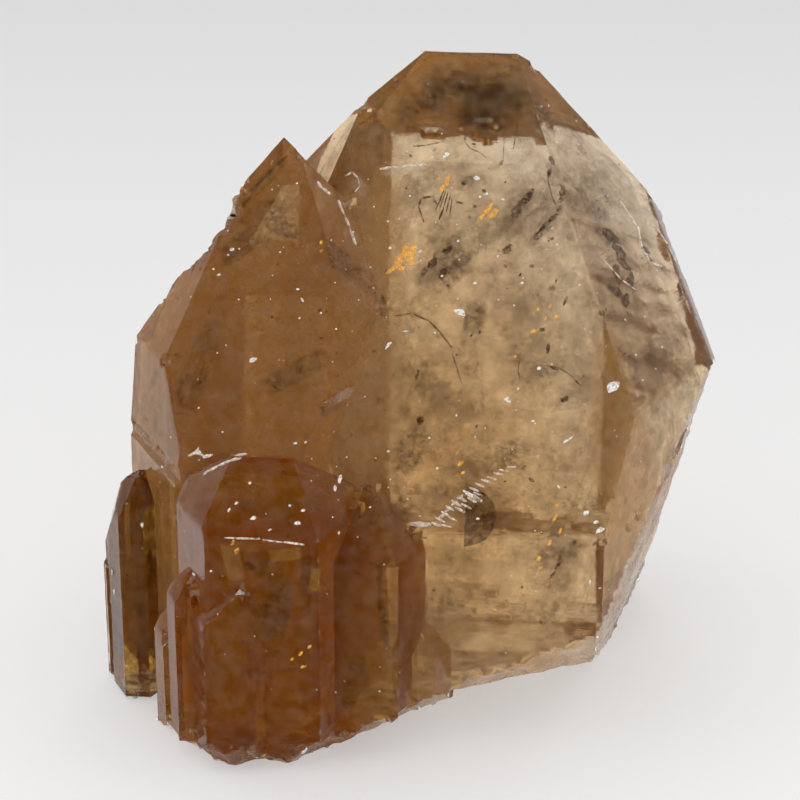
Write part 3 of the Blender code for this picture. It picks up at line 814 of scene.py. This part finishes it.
def marks(crystal, crystal_edges):
    """All that sits on the faces or close under them. The small random marks are drawn in this order."""
    chance = random.Random(MARKS_SEED)
    # Air in the finest cracks, whose golden flash is painted: a golden colour with a painted glint.
    film = stained_film("gold_film", "#ffcf5a", "#d08a24", 0.95, 0.3, 0.1, 0.4)
    # Goethite, an iron rust, in matt dark brown flakes.
    flake = stained_film("iron_flake", "#4a2c10", "#8a5c2a", 0.82, 0.6, 0.12)
    # Cracks that iron-bearing water has stained brown.
    stain = stained_film("stained_crack", "#5a3814", "#8a6030", 0.7, 0.6, 0.1)
    # Scales of quartz half off an edge or a break, frosted and tan; along the long edges they are also painted
    # highlights.
    frost = stained_film("frosted_scale", "#e8d8c4", "#a88a66", 0.5, 0.5, 0.1)
    # Crushed quartz along a crack, a white line brightened by a painted glow.
    pale = stained_film("crushed_line", "#fffaf2", "#d8c8b6", 0.8, 0.4, 0.05, 0.15)
    # Dense brown inclusions behind the stepped break.
    shade = cloudy_veil("shaded_patch", "#40260c", "#6e4822", 0.95, 30.0, 1.4, 0.7)
    white = bruised_quartz()

    for name, crumbs, table, depths, thickness, material in (
        ("gold_films", (("plate", 1), ("plate", 2)), GOLD_FILMS, (0.6, 1.6), 0.08, film),
        ("iron_flakes", (("plate", 3), ("plate", 4)), DARK_FLAKES, (0.5, 1.8), 0.1, flake),
        ("stained_cracks", (("splinter", 5),), DARK_CRACKS, (0.15, 0.3), 0.12, stain),
        ("bruises", (("grain", 6), ("grain", 7)), BRUISES, (0.0, 0.1), 0.35, white),
        ("crushed_lines", (("splinter", 8),), PALE_CRACKS, (0.0, 0.08), 0.3, pale),
        ("stepped_break", (("splinter", 9),), STEPPED_BREAK, (0.0, 0.3), 0.7, pale),
    ):
        set_out(name, [crumb(*start) for start in crumbs], rows_laid(table, depths, thickness, chance), material)
    set_out("half_round_patch", [half_round()], rows_laid(HALF_ROUND_PATCH, (2.4, 2.4), 0.1, chance), shade)
    # Dust pits in the same white crushed quartz, with its painted glow.
    set_out("dust_pits", [crumb("grain", 12)],
            surface_places(crystal, DUST_PITS, chance, (0.12, 0.6), 0.1, 0.4), white)
    set_out("specks", [crumb("plate", 13), crumb("grain", 14)],
            surface_places(crystal, SPECKS, chance, (0.25, 1.1), 1.6, 0.25), flake)
    # Light knocks along the long edges, partly worn quartz and partly painted highlights.
    set_out("edge_wear_and_highlights", [crumb("grain", 15), crumb("splinter", 16)],
            edge_places(crystal, crystal_edges, chance), frost)
    set_out("rim_scales", [crumb("plate", 17), crumb("splinter", 18)],
            surface_places(crystal, RIM_SCALES, chance, (0.8, 2.8), 0.15, 0.2, low=0.4, high=7.0), frost)

    for name, table, *look in (
        # Smoky inclusions in curved sheets, which mottle the clear faces.
        ("smoky_film", SMOKY_FILMS, "#38210c", "#8a6332", 0.9, 7.0, 1.6, 0.25, True),
        # Rust-brown haze, which deepens the small columns, with a faint painted glow.
        ("umber_film", UMBER_FILMS, "#8a5a18", "#cc9028", 0.6, 14.0, 3.0, 0.35, True, 0.07),
        # Air in flat cracks, which shines honey yellow: a painted reflection with a painted glow.
        ("honey_film", HONEY_FILMS, "#8a6020", "#e4bc64", 0.9, 10.0, 0.8, 0.5, False, 0.2),
        # Air in fresh cracks, streaked, their silvery look a painted sheen with a painted glow.
        ("silver_film", SILVER_FILMS, "#a08c74", "#fff6ea", 1.0, 4.0, 1.0, 0.15, True, 0.22),
        # Milky haze of the finest bubbles, which greys the glassy depth, brightened by a painted glow.
        ("milky_film", MILKY_FILMS, "#a07444", "#f0c88e", 0.9, 14.0, 2.6, 0.7, True, 0.13),
    ):
        films(name, table, cloudy_veil(name, *look), crystal)


# Colour and haze inside it


def zones():
    """The columns' own colours, each a little way under the column's faces; the umber one is partly painted shade."""
    # Citrine with some iron: a warm honey brown where it is thick.
    honey = colour_zone("honey_zone", "#fae6b3", 52.0)
    # More iron, which takes out nearly all blue and leaves orange brown.
    amber = colour_zone("amber_zone", "#fbe727", 104.0)
    # A dark olive brown even in thin columns: partly the left columns' own smoky colour, partly painted shade, its
    # density standing in for shadow behind them.
    umber = colour_zone("umber_zone", "#efd445", 230.0)
    # The pale straw of the large point, a little stronger on its left.
    straw = colour_zone("straw_zone", BODY_COLOUR, 7.0)
    ghost("side_point", 1.3, honey, "zone")
    ghost("heart", 1.3, straw, "zone")
    ghost("broad_rib", 1.3, amber, "zone")
    ghost("pointed_rib", 1.3, honey, "zone")
    for column in ("front_rib", "left_rib", "left_foot"):
        ghost(column, 0.7, amber, "zone")
    for column in ("left_upper", "left_lower"):
        ghost(column, 0.7, umber, "zone")


def ghosts():
    """Growth veils one behind the other, coloured like the haze of their column."""
    # Thin sandy clouds close under the large point's faces, which mottle its glow, with a faint painted glow of their
    # own.
    straw = cloudy_veil("straw_veil", "#4a2c10", "#fadca0", 0.5, 12.0, 2.4, 0.04, painted_glow=0.02)
    # Broad tan clouds deep inside it, which dim what lies behind.
    tan = cloudy_veil("tan_veil", "#40240c", "#cf9850", 0.6, 18.0, 4.0, 0.12)
    # Soft brown clouds deep inside the left point, which make it milky.
    brown = cloudy_veil("brown_veil", "#94622c", "#d8a062", 0.3, 18.0, 3.0, 0.55)
    # A fine-grained tawny haze close under its faces, its toffee look, brightened by a painted glow.
    tawny = cloudy_veil("tawny_veil", "#86591f", "#e8b470", 0.8, 22.0, 1.1, 0.75, painted_glow=0.09)
    # A dense umber haze in the left columns, with a faint painted glow.
    umber = cloudy_veil("umber_veil", "#6e4014", "#b07830", 0.85, 12.0, 2.4, 0.7, painted_glow=0.03)
    # Rusty clouds in the front columns, between which they stay clear, with a faint painted glow.
    amber = cloudy_veil("amber_veil", "#5e340a", "#c88426", 0.45, 12.0, 2.4, 0.25, painted_glow=0.018)
    for column, depths, material in (
        ("main_point", (1.6,), straw),
        ("main_point", (7.0, 16.0), tan),
        ("side_point", (1.4, 2.8), tawny),
        ("side_point", (4.0, 8.0, 14.0), brown),
        ("broad_rib", (1.6, 6.0), amber),
        ("pointed_rib", (1.5, 4.0), amber),
        ("left_upper", (1.2, 2.4), umber),
        ("left_lower", (1.0,), umber),
        ("front_rib", (1.4,), amber),
        # In the bud the tawny veil, with its painted glow, lightens a facet that would show the floor's shade beneath
        # the crystal.
        ("bud", (0.8,), tawny),
    ):
        for depth in depths:
            ghost(column, depth, material)


crystal, crystal_edges = grown_crystal()
zones()
ghosts()
marks(crystal, crystal_edges)


# Studio


# Faces and veils that a ray of light passes at most.
FACES_PASSED = 28
VEILS_PASSED = 32


def studio():
    """The pale table, the tent of light and how far light is followed."""
    deselect()
    bpy.ops.mesh.primitive_plane_add(size=6.0)
    floor = bpy.context.object
    floor.name = "floor"
    # Matt paper on a light table, so that some light also comes up through the crystal.
    material, tree = new_material("pale_paper")
    place = node(tree, "ShaderNodeTexCoord", (-900, 0)).outputs["Object"]
    depth = node(tree, "ShaderNodeSeparateXYZ", (-700, 0), {"Vector": place})
    lamp = node(tree, "ShaderNodeMapRange", (-450, 0), {
        "Value": depth.outputs["Y"], "From Min": -0.15, "From Max": 0.5, "To Min": 0.44, "To Max": 0.18})
    shader = node(tree, "ShaderNodeBsdfPrincipled", (0, 0), {
        "Base Color": linear("#d2d2d3"), "Roughness": 0.9, "Emission Color": linear("#ffffff"),
        "Emission Strength": lamp.outputs[0]})
    node(tree, "ShaderNodeOutputMaterial", (300, 0), {"Surface": shader.outputs[0]})
    material.cycles.emission_sampling = "NONE"
    floor.data.materials.append(material)

    # A white tent lit from above and behind; its front is open to a dim room.
    world = bpy.data.worlds.new("tent")
    bpy.context.scene.world = world
    world.use_nodes = True
    tree = world.node_tree
    direction = node(tree, "ShaderNodeTexCoord", (-900, 0))
    lit = node(tree, "ShaderNodeVectorMath", (-700, 0), {
        0: direction.outputs["Generated"], 1: (0.0, 0.75, 0.66)}, operation="DOT_PRODUCT")
    strength = node(tree, "ShaderNodeMapRange", (-450, 0), {
        "Value": lit.outputs["Value"], "From Min": -0.25, "From Max": 0.45, "To Min": 0.5, "To Max": 0.98})
    background = tree.nodes["Background"]
    background.inputs["Color"].default_value = linear("#f6f5f4")
    tree.links.new(strength.outputs[0], background.inputs["Strength"])
    world.cycles.sampling_method = "NONE"
    bpy.context.scene.view_settings.view_transform = "Standard"

    # Light is followed through many faces before it is given up.
    cycles = bpy.context.scene.cycles
    cycles.max_bounces = cycles.transmission_bounces = FACES_PASSED
    cycles.transparent_max_bounces = VEILS_PASSED


# In metres, millimetres, degrees above level, and metres.
CAMERA_DISTANCE = 0.600
CAMERA_LENS = 130.0
CAMERA_ELEVATION = 25.0
CAMERA_TARGET = (-0.00186, 0.00284, 0.058)


def camera():
    """A long lens in front of the crystal, looking slightly down on it."""
    tilt = math.radians(CAMERA_ELEVATION)
    away = Vector((0.0, -math.cos(tilt), math.sin(tilt)))
    data = bpy.data.cameras.new("camera")
    data.lens = CAMERA_LENS
    data.clip_start = 0.01
    seen_from = bpy.data.objects.new("camera", data)
    seen_from.location = Vector(CAMERA_TARGET) + away * CAMERA_DISTANCE
    seen_from.rotation_euler = (math.radians(90.0 - CAMERA_ELEVATION), 0.0, 0.0)
    bpy.context.scene.collection.objects.link(seen_from)
    bpy.context.scene.camera = seen_from


studio()
camera()
